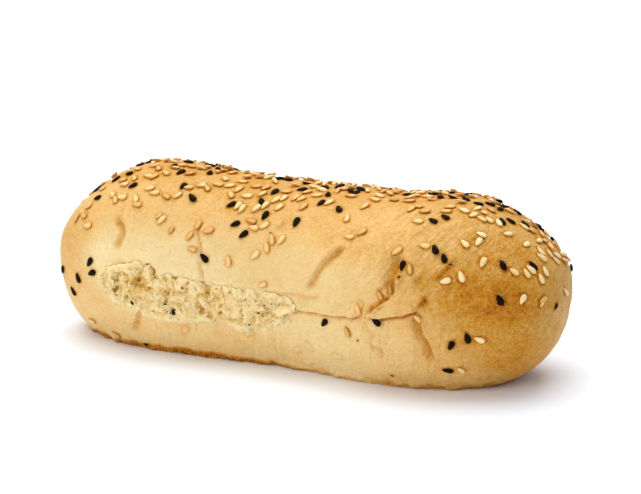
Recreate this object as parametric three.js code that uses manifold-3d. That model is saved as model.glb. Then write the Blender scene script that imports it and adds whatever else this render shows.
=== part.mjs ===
// A seeded hot dog bun, resting on its flat baked base. Millimetres, +Z up.
// The loaf lies along X. Its front, the -Y side, is the one that was torn from the next bun in the tray.
import * as THREE from "three";
import { mergeVertices } from "three/addons/utils/BufferGeometryUtils.js";
import Module from "manifold-3d";

const wasm = await Module();
wasm.setup();

// Driving dimensions of the loaf. Each list runs from the left end (-X) to the right end at equal stations.
const LENGTH = 160;
const CROWN_HEIGHTS = [51.5, 57.0, 52.7, 51.2, 51.6, 54.9, 50.5];
const HALF_WIDTHS = [27.5, 27.0, 25.0, 31.0, 28.5];
const WIDEST_HEIGHT = 25.2; // height of the widest line above the base, at mid length
const WIDEST_RISE = 0.75; // how much higher that line is at the right end than at mid length
const UNDERSIDE_DEPTH = 33.5; // how far the round underside would reach below the widest line, uncut
const PLAN_FULLNESS = 3.2; // roundness of the ends seen from above: 2 is an ellipse, more is boxier
const CROWN_FULLNESS = 2.75; // the same for the top line seen from the side
const UNDERSIDE_FULLNESS = { left: 3.4, right: 2.9 };
const SECTION_FULLNESS = 2.1; // roundness of the cross section
const STATION_FULLNESS = 2.6; // spreads the rings of the mesh evenly over the round ends
const RINGS = 38;
const SIDES = 48;

// The torn patch, where the crumb shows.
const TEAR_DEPTH = 2;
// Points on the crust are [along, round] in degrees: along runs from -90 at the left end to 90 at the right
// end, and round from 0 at the front through 90 at the top to 180 at the back.
const TEAR_OUTLINE = [
  [-40.5, -3], [-39.2, 2.5], [-36.5, 5.5], [-32.6, 6.7], [-30.7, 8.5], [-28, 9], [-26.8, 6], [-25.8, 0.5],
  [-24.8, 2], [-23.4, 3.7], [-21, 2.5], [-17.2, 1.3], [-14.2, -0.6], [-9.9, 0.7], [-5.3, -0.5], [-3.8, -0.5],
  [-2.8, -4], [-1.8, -1], [0.5, -0.5], [2.4, -1.7], [5.1, -2.9], [5.8, -4.7], [5, -7.4], [2.5, -10.4],
  [2, -14.2], [-0.7, -17.8], [-3, -19.6], [-7.2, -21.4], [-11.8, -18], [-14.9, -18], [-19.5, -19],
  [-23.4, -20.8], [-28.4, -22], [-31.5, -18], [-34.9, -15.4], [-39.2, -11.2], [-40.6, -7],
];

// Folds and seams in the crust: half the width of each groove, and its way over the crust.
const CREASES = {
  seam: { radius: 0.9, way: [[4.5, -8], [9.8, -7.6], [14.2, -7], [18.5, -6.2], [21.3, -4.2]] },
  upper_fold: { radius: 0.9, way: [[21.3, -4.2], [23.2, -1.4], [25.2, 1.6], [26, 7], [26, 15], [26.6, 24]] },
  right_fold: { radius: 0.8, way: [[21.3, -4.2], [25.4, -5], [28.5, -3.8], [33, -1.2]] },
  lower_fold: { radius: 0.7, way: [[21.3, -4.2], [22, -10], [23, -17], [24.2, -26]] },
  middle_fold: { radius: 1.0, way: [[15, 37], [13.2, 30], [11.4, 22], [10.4, 14], [9.2, 7]] },
  left_fold: { radius: 1.0, way: [[-37, 43], [-37.4, 34], [-35.6, 25], [-36.8, 16], [-35.5, 10]] },
};
const CREASE_SIDES = 6;
const CREASE_STEP = 2.5; // length of one straight stretch of a groove

// A sesame seed: a flattened drop, pointed at its tail.
const SEED = { length: 3.3, width: 2.1, thickness: 1.0 };
const SEED_PROFILE = [[0, -1], [0.52, -0.72], [0.93, -0.15], [0.98, 0.35], [0.62, 0.82], [0, 1]];
const SEED_SIDES = 8;
const SEED_LIFT = 0.15; // how far a seed's middle stands above the crust
const SEED_GAP = 0.3; // room between a seed and the nest that it has baked into the crust

// Seeds as [along, round, heading]. The heading turns the seed's blunt end from +X towards the crown.
const BLACK_SESAME = [
  [-62, -10.5, 63], [-54.5, -22, -50], [-50.5, -9, -70], [-45, 4.4, 55], [-44.1, -2.6, 25],
  [-52, 74, -30], [-47, 54, -5], [-44, 71, 40], [-40, 72.5, -15], [-40, 89, -20], [-36.5, 57.5, 30],
  [-28.5, 94, 9], [-27.2, 75, 70], [-24.6, 62, 80], [-21.5, 54.8, -40], [-21.6, 83, -75],
  [-15.5, 17, -40], [-12.6, 53.5, 45], [-10.2, 40, 30], [-7.8, 33.8, 45], [-6.6, 60.3, -60],
  [-5.5, 95.5, 0], [-5.2, 72, 75], [-4.4, 48.8, 75], [0, 80, 40], [3, 47.2, 85], [6.3, 66.5, 70],
  [6.3, 78, -70], [10.8, 63.5, -50], [12.3, -11.5, 50], [22, 92, 0], [24.4, -5.4, -40], [28.9, 27.9, 82],
  [29.4, 90, -60], [32.1, 59.7, -25], [34.2, 64, -25], [34.7, 39.9, -60], [37, 35.4, -65],
  [38.3, 88.9, 20], [38.3, -35, -20], [39.9, -17.3, 60], [42.7, 96.6, 90], [43.7, -13.5, -80],
  [46.9, 88.3, 0], [50.7, 41.8, -50], [51.8, 13.5, -55], [59.8, 54.3, -25],
];
const WHITE_SESAME = [
  [32.4, 41.6, -5], [40.5, 47.7, -30], [43.2, 52.3, 80], [45.7, 38.8, 80], [41.5, 26, -60], [38.3, 21.5, 20],
  [48.6, 71, 50], [54.5, 40, -15], [59.2, 16, 65], [46.6, -15, -30], [15.9, 42.7, 5], [-5.9, 39.2, -5],
];
const BUN_COLOUR = 0xdcae6a;
const BLACK_SEED_COLOUR = 0x2a2420;
const WHITE_SEED_COLOUR = 0xe8cc9c;

const radians = THREE.MathUtils.degToRad;

// A smooth curve through values at equal stations, read at position -1 to 1.
function stations(values) {
  const points = values.map((value, i) => new THREE.Vector2(i, value));
  const curve = new THREE.SplineCurve(points);
  return (position) => curve.getPoint((position + 1) / 2).y;
}
const crownHeight = stations(CROWN_HEIGHTS);
const halfWidth = stations(HALF_WIDTHS);

// How the loaf narrows to nothing at both ends, for a position from -1 to 1.
const taper = (position, fullness) =>
  Math.max(1 - Math.abs(position) ** fullness, 0) ** (1 / fullness);

// The point on the crust, before the flat base is cut, in the [along, round] degrees of the lists above.
function crustPoint(along, round) {
  const a = radians(along);
  const r = radians(round);
  const spread =
    (Math.abs(Math.sin(a)) ** STATION_FULLNESS + Math.abs(Math.cos(a)) ** STATION_FULLNESS) **
    (-1 / STATION_FULLNESS);
  const position = Math.sin(a) * spread;
  const push =
    (Math.abs(Math.cos(r)) ** SECTION_FULLNESS + Math.abs(Math.sin(r)) ** SECTION_FULLNESS) **
    (-1 / SECTION_FULLNESS);
  const middle = WIDEST_HEIGHT + WIDEST_RISE * position;
  const underside = position < 0 ? UNDERSIDE_FULLNESS.left : UNDERSIDE_FULLNESS.right;
  const reach =
    Math.sin(r) > 0
      ? (crownHeight(position) - middle) * taper(position, CROWN_FULLNESS)
      : UNDERSIDE_DEPTH * taper(position, underside);
  return new THREE.Vector3(
    (position * LENGTH) / 2,
    -halfWidth(position) * taper(position, PLAN_FULLNESS) * Math.cos(r) * push,
    middle + reach * Math.sin(r) * push,
  );
}

// The uncut loaf: a sphere whose poles lie on X, with every point moved out to the crust.
function loafGeometry() {
  const geometry = new THREE.SphereGeometry(1, SIDES, RINGS).rotateZ(-Math.PI / 2);
  const position = geometry.attributes.position;
  for (let i = 0; i < position.count; i++) {
    const along = Math.asin(THREE.MathUtils.clamp(position.getX(i), -1, 1));
    const round = Math.atan2(position.getZ(i), -position.getY(i));
    const point = crustPoint(THREE.MathUtils.radToDeg(along), THREE.MathUtils.radToDeg(round));
    position.setXYZ(i, point.x, point.y, point.z);
  }
  return geometry;
}

// Where a seed lies: its own X along its heading, its own Z straight out of the crust.
function crustPlacement(along, round, heading) {
  const step = 0.5;
  const forward = crustPoint(along + step, round).sub(crustPoint(along - step, round)).normalize();
  const upward = crustPoint(along, round + step).sub(crustPoint(along, round - step)).normalize();
  const outward = forward.clone().cross(upward).normalize();
  const lengthwise = forward.applyAxisAngle(outward, radians(heading));
  const across = outward.clone().cross(lengthwise);
  const place = crustPoint(along, round).addScaledVector(outward, SEED_LIFT);
  return new THREE.Matrix4().makeBasis(lengthwise, across, outward).setPosition(place);
}

// A seed, grown by a margin all round, with its length along X.
function seedGeometry(margin = 0) {
  const half = SEED.length / 2 + margin;
  const radius = SEED.width / 2 + margin;
  const profile = SEED_PROFILE.map(([r, l]) => new THREE.Vector2(r * radius, l * half));
  const flatness = (SEED.thickness / 2 + margin) / radius;
  return new THREE.LatheGeometry(profile, SEED_SIDES).rotateZ(-Math.PI / 2).scale(1, 1, flatness);
}

// The room above the torn patch, from outside the loaf in to the crumb.
function tearGeometry() {
  const outline = TEAR_OUTLINE.map(([along, round]) => {
    const point = crustPoint(along, round);
    return new THREE.Vector2(point.x, point.z);
  });
  const reach = 40;
  return new THREE.ExtrudeGeometry(new THREE.Shape(outline), { depth: reach, bevelEnabled: false })
    .rotateX(Math.PI / 2);
}

// A groove of round section that follows its way over the crust.
function creaseGeometry({ radius, way }) {
  const path = new THREE.CatmullRomCurve3(way.map(([along, round]) => crustPoint(along, round)));
  const section = new THREE.Shape().absarc(0, 0, radius, 0, Math.PI * 2);
  return new THREE.ExtrudeGeometry(section, {
    steps: Math.round(path.getLength() / CREASE_STEP),
    curveSegments: CREASE_SIDES / 2,
    extrudePath: path,
  });
}

function toSolid(geometry) {
  const bare = geometry.clone();
  bare.deleteAttribute("normal");
  bare.deleteAttribute("uv");
  const merged = mergeVertices(bare, 1e-4);
  return new wasm.Manifold(
    new wasm.Mesh({
      numProp: 3,
      vertProperties: merged.attributes.position.array,
      triVerts: new Uint32Array(merged.index.array),
    }),
  );
}

function toGeometry(solid) {
  const mesh = solid.getMesh();
  const geometry = new THREE.BufferGeometry();
  geometry.setAttribute("position", new THREE.BufferAttribute(mesh.vertProperties, 3));
  geometry.setIndex(new THREE.BufferAttribute(mesh.triVerts, 1));
  geometry.computeVertexNormals();
  return geometry;
}

function bunGeometry(placements) {
  const loaf = loafGeometry();
  const belowBase = new THREE.BoxGeometry(2 * LENGTH, LENGTH, LENGTH).translate(0, 0, -LENGTH / 2);
  const crumb = loaf.clone().scale(1, 1 - TEAR_DEPTH / halfWidth(0), 1);
  const tear = toSolid(tearGeometry()).subtract(toSolid(crumb));
  let bun = toSolid(loaf).subtract(toSolid(belowBase)).subtract(tear);
  for (const crease of Object.values(CREASES)) {
    bun = bun.subtract(toSolid(creaseGeometry(crease)));
  }
  const nest = seedGeometry(SEED_GAP);
  for (const placement of placements) {
    bun = bun.subtract(toSolid(nest.clone().applyMatrix4(placement)));
  }
  return toGeometry(bun);
}

function matt(colour, roughness) {
  return new THREE.MeshStandardMaterial({ color: colour, roughness, metalness: 0 });
}

const part = new THREE.Group();
const placements = [];

// Each seed is a piece of its own, held in its nest in the crust.
function addSeeds(kind, places, material) {
  const geometry = seedGeometry();
  places.forEach((place, i) => {
    const placement = crustPlacement(...place);
    const seed = new THREE.Mesh(geometry, material);
    seed.name = `${kind}_${String(i + 1).padStart(2, "0")}`;
    seed.applyMatrix4(placement);
    part.add(seed);
    placements.push(placement);
  });
}
addSeeds("black_sesame", BLACK_SESAME, matt(BLACK_SEED_COLOUR, 0.5));
addSeeds("white_sesame", WHITE_SESAME, matt(WHITE_SEED_COLOUR, 0.6));

const bun = new THREE.Mesh(bunGeometry(placements), matt(BUN_COLOUR, 0.75));
bun.name = "bun";
part.add(bun);

export default part;
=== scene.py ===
# %% [markdown]
# # A seeded hot dog bun
#
# A soft roll, about 160 mm long, that was proved and baked side by side with others in a tray. Its crown is
# golden, its sides stayed pale where its neighbours shaded them, and on the front a patch of white crumb
# shows where it was pulled from the next bun. Black and white sesame seeds are baked into the crust.
#
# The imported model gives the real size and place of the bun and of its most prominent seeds. This lesson
# gives them their finish: a crust with folds and wrinkles, torn crumb, toasted seeds, and three plain
# procedural materials.

# %% Load the frame
import math
from collections import namedtuple

import bpy
import numpy as np
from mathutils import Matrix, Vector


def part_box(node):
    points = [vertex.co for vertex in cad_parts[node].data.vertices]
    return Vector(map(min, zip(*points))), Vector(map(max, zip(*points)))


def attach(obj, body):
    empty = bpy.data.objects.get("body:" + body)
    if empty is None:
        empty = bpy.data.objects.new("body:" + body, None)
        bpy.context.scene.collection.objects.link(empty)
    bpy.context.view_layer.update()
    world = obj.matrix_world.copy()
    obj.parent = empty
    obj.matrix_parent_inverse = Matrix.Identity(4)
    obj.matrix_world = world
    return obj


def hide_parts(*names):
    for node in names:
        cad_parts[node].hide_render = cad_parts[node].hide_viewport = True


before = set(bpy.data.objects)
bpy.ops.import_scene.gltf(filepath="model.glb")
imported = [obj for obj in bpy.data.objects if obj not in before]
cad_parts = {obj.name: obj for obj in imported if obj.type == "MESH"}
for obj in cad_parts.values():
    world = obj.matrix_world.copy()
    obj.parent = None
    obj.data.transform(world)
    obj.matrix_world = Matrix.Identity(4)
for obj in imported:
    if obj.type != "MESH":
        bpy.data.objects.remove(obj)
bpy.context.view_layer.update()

import openvdb
from mathutils import Matrix, Vector
from mathutils.kdtree import KDTree

MM = 0.001  # one millimetre in metres: the shapes below are worked out in millimetres
low, high = (np.array(corner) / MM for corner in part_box("bun"))
LENGTH, WIDTH, HEIGHT = high - low
print(f"bun: {LENGTH:.1f} x {WIDTH:.1f} x {HEIGHT:.1f} mm, {len(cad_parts) - 1} seeds in the frame")

# %% [markdown]
# ## The loaf's own coordinates
#
# Everything on a loaf lies somewhere along it and somewhere round it. So the crust is described by two
# angles, like longitude and latitude: *along* runs from -90 at the left end to 90 at the right end, and
# *round* runs from 0 at the front over 90 at the top to 180 at the back. The shape between them is a loft.
# Stations along the bun give its height and half width, a smooth curve joins them, and both ends taper to a
# point that is nearly flat, as dough does when it meets nothing. A lathe or a stretched sphere could not
# give the waist that this bun has, and sculpting by hand could not be checked against the frame.

# %% The loft from stations
STATIONS_HEIGHT, STATIONS_WIDTH = 53.7, 59.8  # size of the loaf that the stations give by themselves
CROWN = np.array([51.5, 57.0, 52.7, 51.2, 51.6, 54.9, 50.5]) * (HEIGHT / STATIONS_HEIGHT)  # left to right
HALF_WIDTH = np.array([27.5, 27.0, 25.0, 31.0, 28.5]) * (WIDTH / STATIONS_WIDTH)
WIDEST, WIDEST_RISE = 25.2, 0.75  # height of the widest line at mid length, and its rise to the right
UNDER = 33.5  # how far the round underside would reach below the widest line if it lay on nothing
PLAN, CROWN_END, UNDER_LEFT, UNDER_RIGHT = 3.2, 2.75, 3.4, 2.9  # fullness of the ends: 2 is an ellipse
SECTION, SPREAD = 2.1, 2.6


def through(values, position):
    """A smooth curve through equally spaced values, read at position -1 to 1."""
    last = len(values) - 1
    at = (np.clip(position, -1, 1) + 1) / 2 * last
    i = np.minimum(np.floor(at).astype(int), last)
    w = at - i
    p0, p1, p2, p3 = (values[np.clip(i + k, 0, last)] for k in (-1, 0, 1, 2))
    v0, v1 = (p2 - p0) / 2, (p3 - p1) / 2
    return (2 * p1 - 2 * p2 + v0 + v1) * w**3 + (3 * p2 - 3 * p1 - 2 * v0 - v1) * w**2 + v0 * w + p1


def taper(position, power):
    """1 at mid length and 0 at the ends: the higher the power, the fuller the end."""
    return np.maximum(1 - np.abs(position) ** power, 1e-9) ** (1 / power)


def fullness(a, b, power):
    """The length of (a, b), measured so that the points of length 1 lie on a superellipse."""
    return (np.abs(a) ** power + np.abs(b) ** power) ** (1 / power)


def section_sizes(position):
    """Half width, middle height, and reach above and below the middle at a position from -1 to 1."""
    middle = WIDEST + WIDEST_RISE * position
    half = through(HALF_WIDTH, position) * taper(position, PLAN)
    above = (through(CROWN, position) - middle) * taper(position, CROWN_END)
    below = UNDER * taper(position, np.where(position < 0, UNDER_LEFT, UNDER_RIGHT))
    return half, middle, above, below


def crust_point(along, round_):
    """Points on the plain crust, in millimetres, for angles in degrees."""
    a, r = np.radians(along), np.radians(round_)
    position = np.sin(a) / fullness(np.sin(a), np.cos(a), SPREAD)
    half, middle, above, below = section_sizes(position)
    push = 1 / fullness(np.cos(r), np.sin(r), SECTION)
    y = -half * np.cos(r) * push
    z = middle + np.where(np.sin(r) > 0, above, below) * np.sin(r) * push
    return np.stack([position * LENGTH / 2 + 0 * y, y, z], -1)


def crust_normal(along, round_, apart=0.25):
    """The direction straight out of the plain crust, from points a little apart in degrees."""
    forward = crust_point(along + apart, round_) - crust_point(along - apart, round_)
    upward = crust_point(along, round_ + apart) - crust_point(along, round_ - apart)
    normal = np.cross(forward, upward)
    return normal / np.maximum(np.linalg.norm(normal, axis=-1, keepdims=True), 1e-12)


ALONG_TABLE = np.linspace(-90, 90, 721)
POSITION_TABLE = crust_point(ALONG_TABLE, 0)[:, 0] / (LENGTH / 2)


def crust_place(points):
    """The other way: along and round in degrees, and the height above the plain crust, of points in space."""
    position = np.clip(points[..., 0] / (LENGTH / 2), -0.9999, 0.9999)
    half, middle, above, below = section_sizes(position)
    rise = points[..., 2] - middle
    reach = np.where(rise > 0, above, below)
    across, rise = -points[..., 1] / half, rise / reach
    ratio = np.maximum(fullness(across, rise, SECTION), 1e-6)
    radius = np.hypot(across * half, rise * reach) / ratio
    along = np.interp(position, POSITION_TABLE, ALONG_TABLE)
    return along, np.degrees(np.arctan2(rise, across)), (ratio - 1) * radius


spot = crust_point(np.array([26.0]), np.array([14.0]))
print("a point and its place read back:", np.round(spot, 2), np.round(crust_place(spot), 2))

# %% [markdown]
# ## A little noise of our own
#
# Dough is never even, so every surface below needs smooth randomness. Blender has noise nodes for
# materials, but here the shape itself needs it, with the same result on every run. A table of seeded random
# numbers, read with smooth steps between its entries, is the simplest noise there is: one lump per cell.

# %% Smooth noise and steps


def step(low_edge, high_edge, value):
    """A smooth step from 0 to 1 between two edges."""
    t = np.clip((value - low_edge) / (high_edge - low_edge), 0, 1)
    return t * t * (3 - 2 * t)


def noise(points, cell, seed):
    """Smooth random values of about -1 to 1, with lumps one cell wide."""
    size = 32
    table = np.random.default_rng(seed).uniform(-1, 1, (size,) * points.shape[-1])
    scaled = points / cell + 500.37
    corner = np.floor(scaled).astype(int)
    part = step(0, 1, scaled - corner)
    total = np.zeros(points.shape[:-1])
    for offset in np.ndindex(*(2,) * points.shape[-1]):
        weight = np.prod(np.where(offset, part, 1 - part), axis=-1)
        total += weight * table[tuple(np.moveaxis((corner + offset) % size, -1, 0))]
    return total


def rough(points, cell, seed, octaves=3):
    """Noise on noise: each octave is half as large and half as strong."""
    return sum(noise(points, cell / 2**i, seed + i) / 2**i for i in range(octaves))


print("noise at that point, with lumps 5 mm wide:", noise(spot, 5, 1).round(2))

# %% [markdown]
# ## Folds in the crust
#
# A bun's skin creases where two swelling pieces of dough press together, and where the dough was folded
# when it was rolled up. Each fold is a way over the crust, with a depth, a width and, where one piece of
# dough laps over the other, a lip on one side. To measure how far a point is from a fold, the crust is laid
# flat like a map in millimetres. Sculpting would give the same shapes, but ways in a list can be read,
# moved and checked.

# %% The folds
MAP_ALONG, MAP_UPPER, MAP_LOWER = 1.4, 0.47, 0.55  # mm per degree along, and round above and below the front


def laid_flat(along, round_):
    """Angles as millimetres on a flat map of the crust, true to size on the front."""
    return np.stack([along * MAP_ALONG, round_ * np.where(round_ > 0, MAP_UPPER, MAP_LOWER)], -1)


def beside(points, way, closed=False):
    """How far points on the map are from a way, plus on its left, how far along it they lie, and its length,
    all in mm."""
    corners = laid_flat(*np.array(way, float).T)
    if closed:
        corners = np.vstack([corners, corners[:1]])
    nearest = np.full(points.shape[:-1], np.inf)
    side = np.ones(points.shape[:-1])
    passed = np.zeros(points.shape[:-1])
    length = 0.0
    for start, end in zip(corners[:-1], corners[1:]):
        run = end - start
        size = np.hypot(*run)
        away = points - start
        t = np.clip((away @ run) / size**2, 0, 1)
        gap = np.linalg.norm(away - t[..., None] * run, axis=-1)
        closer = gap < nearest
        nearest = np.where(closer, gap, nearest)
        side = np.where(closer, np.sign(run[0] * away[..., 1] - run[1] * away[..., 0]), side)
        passed = np.where(closer, length + t * size, passed)
        length += size
    return nearest * side, passed, length


# The depth, half width and lip of a fold are in mm. Its lip lies on the left of its way, or on the right if
# the number is negative. Its way is a list of (along, round). A flatness of 2 makes a crease, and 4 makes a
# channel with a flat bottom.
Fold = namedtuple("Fold", "depth half_width lip way flatness", defaults=[2])
FOLDS = {
    "left_fold": Fold(1.4, 1.1, 0.35, [
        (-38.4, 35), (-37.3, 32.5), (-36, 28.8), (-35.2, 25), (-35.7, 21), (-36.3, 17), (-36.7, 12.5)
    ], flatness=4),
    "left_crack": Fold(0.5, 0.5, -0.3, [(-36.4, 43), (-36.7, 39.5), (-36.4, 36.3), (-36.6, 33)]),
    "thin_fold": Fold(1.1, 0.6, 0.5, [
        (-17.5, 38), (-17.3, 30), (-16.8, 25), (-15.9, 19), (-16.2, 12), (-15.6, 5), (-14.8, -3)
    ]),
    "middle_fold": Fold(1.1, 1.0, -0.7, [
        (15.4, 38), (13.8, 30), (11.8, 24), (10.2, 17), (9.4, 11), (8.2, 5)
    ]),
    "strip_edge": Fold(0.5, 0.6, 0.35, [(-0.5, 2), (2.5, 0.5), (6, 1.5), (9, 1.5), (12, 2.2)]),
    "seam": Fold(1.2, 0.45, 0.8, [
        (1.5, -12), (2.6, -10.5), (5.3, -7.8), (9.8, -7.6), (14.2, -7), (18.5, -6.2), (21.3, -4.2)
    ]),
    "upper_branch": Fold(1.2, 0.6, -0.8, [
        (21.5, -3.2), (22.5, -1.5), (24, 1.5), (25.6, 4.6), (26.8, 7.6), (27.4, 10.6)
    ]),
    "right_branch": Fold(1.3, 0.5, 1.2, [
        (21.3, -4), (22.7, -4), (25.4, -4.6), (27.5, -3.2), (29.8, -1.9), (32.2, -0.3), (33.3, 2)
    ]),
    "short_branch": Fold(0.6, 0.5, 0.4, [(20.2, 3), (20.3, 0), (21, -2.6), (20.8, -6), (20.3, -9)]),
    "lower_branch": Fold(0.6, 0.8, 0.5, [
        (21.6, -5), (22.2, -9.3), (23.4, -15), (22.6, -19.3), (24.2, -26)
    ]),
    "shoulder_fold": Fold(1.7, 1.5, 0.9, [
        (33.3, 1), (33, -2), (33.2, -6.6), (34.1, -11.5), (35, -16.3), (35.5, -23), (36.2, -30)
    ]),
    "nook": Fold(1.7, 2.0, 0.9, [
        (28.4, 36), (28.2, 27), (27.2, 22.8), (26.9, 19), (27.4, 14.7), (27.4, 9.5)
    ]),
    "shoulder_ridge": Fold(1.0, 1.2, 0.9, [(32.9, 1.5), (33.5, 5.7), (34.1, 9.3), (35, 13)]),
    "crown_wrinkle": Fold(0.7, 0.9, 0.6, [(31.6, 15), (31.7, 19.8), (33, 22), (33.9, 26)]),
    "end_wrinkle": Fold(0.6, 0.8, 0.5, [(35.5, 20), (37, 25.8), (38, 29), (39.2, 33), (40.4, 37)]),
    "low_left_fold": Fold(0.8, 0.9, -0.3, [(-29.7, -13), (-30.8, -19), (-32.2, -27), (-33.6, -36)]),
    "low_middle_fold": Fold(0.4, 0.6, 0.4, [(-0.5, -23), (-0.2, -31), (-0.8, -39)]),
    "low_ripple": Fold(0.35, 0.7, 0.2, [(-21.5, -24), (-20.8, -30), (-20.9, -37)]),
}


def folded(flat):
    """How far the folds push points of the map out, in mm, and how deep in a fold they lie, 0 to 1."""
    height, hollow = np.zeros(flat.shape[:-1]), np.zeros(flat.shape[:-1])
    wander = 0.35 * np.stack([noise(flat, 2.5, 71), noise(flat, 2.5, 72)], -1)
    for fold in FOLDS.values():
        gap, passed, length = beside(flat + wander, fold.way)
        ends = step(0, 2.5, passed) * step(0, 2.5, length - passed)
        towards_lip = gap * (-1 if fold.lip < 0 else 1)
        steepness = np.where(towards_lip > 0, 0.4, 1.3) if fold.flatness == 2 else 1.0  # abrupt below the lip
        groove = np.exp(-((np.abs(gap) / (fold.half_width * steepness)) ** fold.flatness)) * ends
        rounded_lip = np.exp(-(((towards_lip - 0.8) / 1.7) ** 2)) * step(0, 0.4, towards_lip)
        height += abs(fold.lip) * rounded_lip * ends - fold.depth * groove
        # How deep in a fold a point lies; the crust's colour later uses it for painted shade.
        hollow = np.maximum(hollow, groove * min(fold.depth, 1.0))
    return height, hollow


print(len(FOLDS), "folds, the deepest", max(fold.depth for fold in FOLDS.values()), "mm deep")

# %% [markdown]
# ## The torn patch
#
# Where two buns grow together in the tray there is no crust, and pulling them apart tears the crumb. The
# outline is ragged and the skin along its upper edge stands a little proud, like the edge of torn paper.
# The crust gets a hollow there, and the crumb that fills it is a solid of its own further down, so that it
# can have holes and threads that no single-valued relief could have.

# %% Outline of the tear
TEAR = [
    (-40.5, -3), (-39.2, 2.5), (-36.5, 5.5), (-32.6, 6.7), (-30.7, 8.5), (-28, 9), (-26.8, 6),
    (-25.8, 0.5), (-24.8, 2), (-23.4, 3.7), (-21, 2.5), (-17.2, 1.3), (-14.2, -0.6), (-9.9, 0.7),
    (-5.3, -0.5), (-3.8, -0.5), (-2.8, -4), (-1.8, -1), (0.5, -0.5), (2.4, -1.7), (5.1, -2.9),
    (5.8, -4.7), (5, -7.4), (2.5, -10.4), (2, -14.2), (-0.7, -17.8), (-3, -19.6), (-7.2, -21.4),
    (-11.8, -18), (-14.9, -18), (-19.5, -19), (-23.4, -20.8), (-28.4, -22), (-31.5, -18), (-34.9, -15.4),
    (-39.2, -11.2), (-40.6, -7),
]
TEAR_DEPTH = 3.0  # depth of the hollow in the crust that the crumb stands in


def inside_tear(flat, ragged=True):
    """Distance in mm inside the outline of the tear; negative outside."""
    gap, _, _ = beside(flat, TEAR, closed=True)
    gap = -gap  # the outline runs clockwise on the map, so its inside is on the right
    return gap + (0.4 * rough(flat, 1.6, 31) if ragged else 0)


corners = laid_flat(*np.array(TEAR, float).T)
print("the tear is", np.round(np.ptp(corners, axis=0)), "mm long and high on the map")

# %% [markdown]
# ## Lumps, swells and the whole relief
#
# Three more things shape the crust: low lumps where the dough closed over a seed, broad swells and dips
# between the folds, and a slight unevenness everywhere. The relief adds all of them to the folds and the
# tear's hollow, so that one number says how far the crust stands out at any place.

# %% The whole relief
# Seeds that the dough closed over, most of them on the lower front: (along, round), heading.
BURIED = [
    ((7.8, -27), -60), ((14.3, -30), 0), ((4.8, -31), 40), ((6.4, -38.7), -10), ((24.2, -23), -60),
    ((-6.3, -24), 70), ((-8.2, -33), -30), ((-20.8, -27.6), 50), ((46, -49), 0), ((-33, -30), 20),
    ((-0.3, 44.8), 60), ((22.3, -0.5), 30), ((24.2, 2), 35), ((25.4, 5.5), 70), ((20.7, 0.5), 80),
]
# Broad swells and dips between the folds: place, half length and half height in mm, and height in mm.
SWELLS = [
    ((28.5, 3), 4.5, 1.7, 0.9), ((28, -14), 4.0, 6.0, -0.6), ((39, -12), 4.5, 8.0, 0.7),
    ((30, 15), 3.5, 3.5, -0.7), ((-34, 11), 6.5, 1.7, 1.0), ((22, 22), 3.5, 5.0, 0.4),
    ((14, 2), 7.0, 2.5, 0.5), ((-47, 2), 2.5, 3.0, -0.4), ((-37, -24), 5.0, 5.0, 0.6),
]


def swells(flat):
    """The broad swells and dips, in mm."""
    height = 0
    for place, half_length, half_height, rise in SWELLS:
        away = (flat - laid_flat(*map(np.float64, place))) / [half_length, half_height]
        height = height + rise * np.exp(-(away**2).sum(-1))
    return height


def buried_seeds(flat):
    """The low lumps over the buried seeds, in mm, and how near each point is to the outline of one."""
    height, outline = 0, 0
    for place, heading in BURIED:
        away = flat - laid_flat(*map(np.float64, place))
        turn = math.radians(heading)
        length = away @ [math.cos(turn), math.sin(turn)] / 1.75
        width = away @ [-math.sin(turn), math.cos(turn)] / 1.05
        spread = length**2 + width**2
        height = height + 0.7 * np.exp(-(spread**3))
        outline = outline + np.exp(-(((spread - 1.2) / 0.45) ** 2))
    return height, outline


# Unevenness of the whole crust: size of the lumps in mm, their height in mm, and the seed of the noise.
UNEVEN = [(22, 0.45, 11), (9, 0.22, 12), (3.2, 0.11, 13), (1.5, 0.05, 18)]


def right_shoulder(along, round_, first, last):
    """1 on the wrinkled shoulder at the right end, falling to 0 towards the first and last degrees along."""
    return step(first, 22, along) * step(last, 40, along) * step(2, 16, round_) * step(84, 60, round_)


def relief(along, round_, points, torn=True):
    """How far the real crust stands out from the plain one, in mm, with the tear or without it."""
    flat = laid_flat(along, round_)
    height, _ = folded(flat)
    height += buried_seeds(flat)[0] + swells(flat)
    height += sum(strength * noise(points, size, seed) for size, strength, seed in UNEVEN)
    # Wrinkles on the shoulder, 4.5 mm long and 1.5 mm apart, that run up to the right at 55 degrees.
    turned = flat @ np.array([[0.57, -0.82], [0.82, 0.57]]) / np.array([4.5, 1.5])
    height += 0.35 * right_shoulder(along, round_, 10, 62) * step(0.1, 0.8, noise(turned, 1, 14))
    # Faint upright ripples where the skin of the lower front was stretched.
    skin = step(-45, -25, along) * step(45, 25, along) * step(8, -12, round_)
    height += 0.12 * skin * noise(flat / np.array([2.6, 11.0]), 1, 15)
    if torn:  # the skin stands proud along the upper edge, and inside the outline there is a hollow
        near_tear = inside_tear(flat)
        lifted = np.exp(-(((near_tear + 0.9) / 0.8) ** 2)) * step(-12, 0, round_)
        height += 0.5 * lifted * (1 + rough(flat, 3, 17))
        height -= TEAR_DEPTH * step(-0.1, 0.7, near_tear)
    return height


middle = np.array([-10.0]), np.array([-8.0])
print("relief in the middle of the tear:", relief(*middle, crust_point(*middle)).round(2), "mm")

# %% [markdown]
# ## The crust as a mesh
#
# The crust is a net of rings: its lines are closer together on the front and over the tear and folds, where
# the detail is, and wider apart on the back and the base. Every point of the net moves out of the plain
# crust by the relief. The base stays flat, because it was baked on a tray, with a thin uneven rim round it
# where the dough crept over the tray and browned.

# %% Build the crust


def lines(*stretches):
    """Angles from (start, end, spacing) stretches that follow on from each other."""
    parts = [np.linspace(a, b, round((b - a) / spacing), endpoint=False) for a, b, spacing in stretches]
    return np.concatenate(parts)


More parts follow.
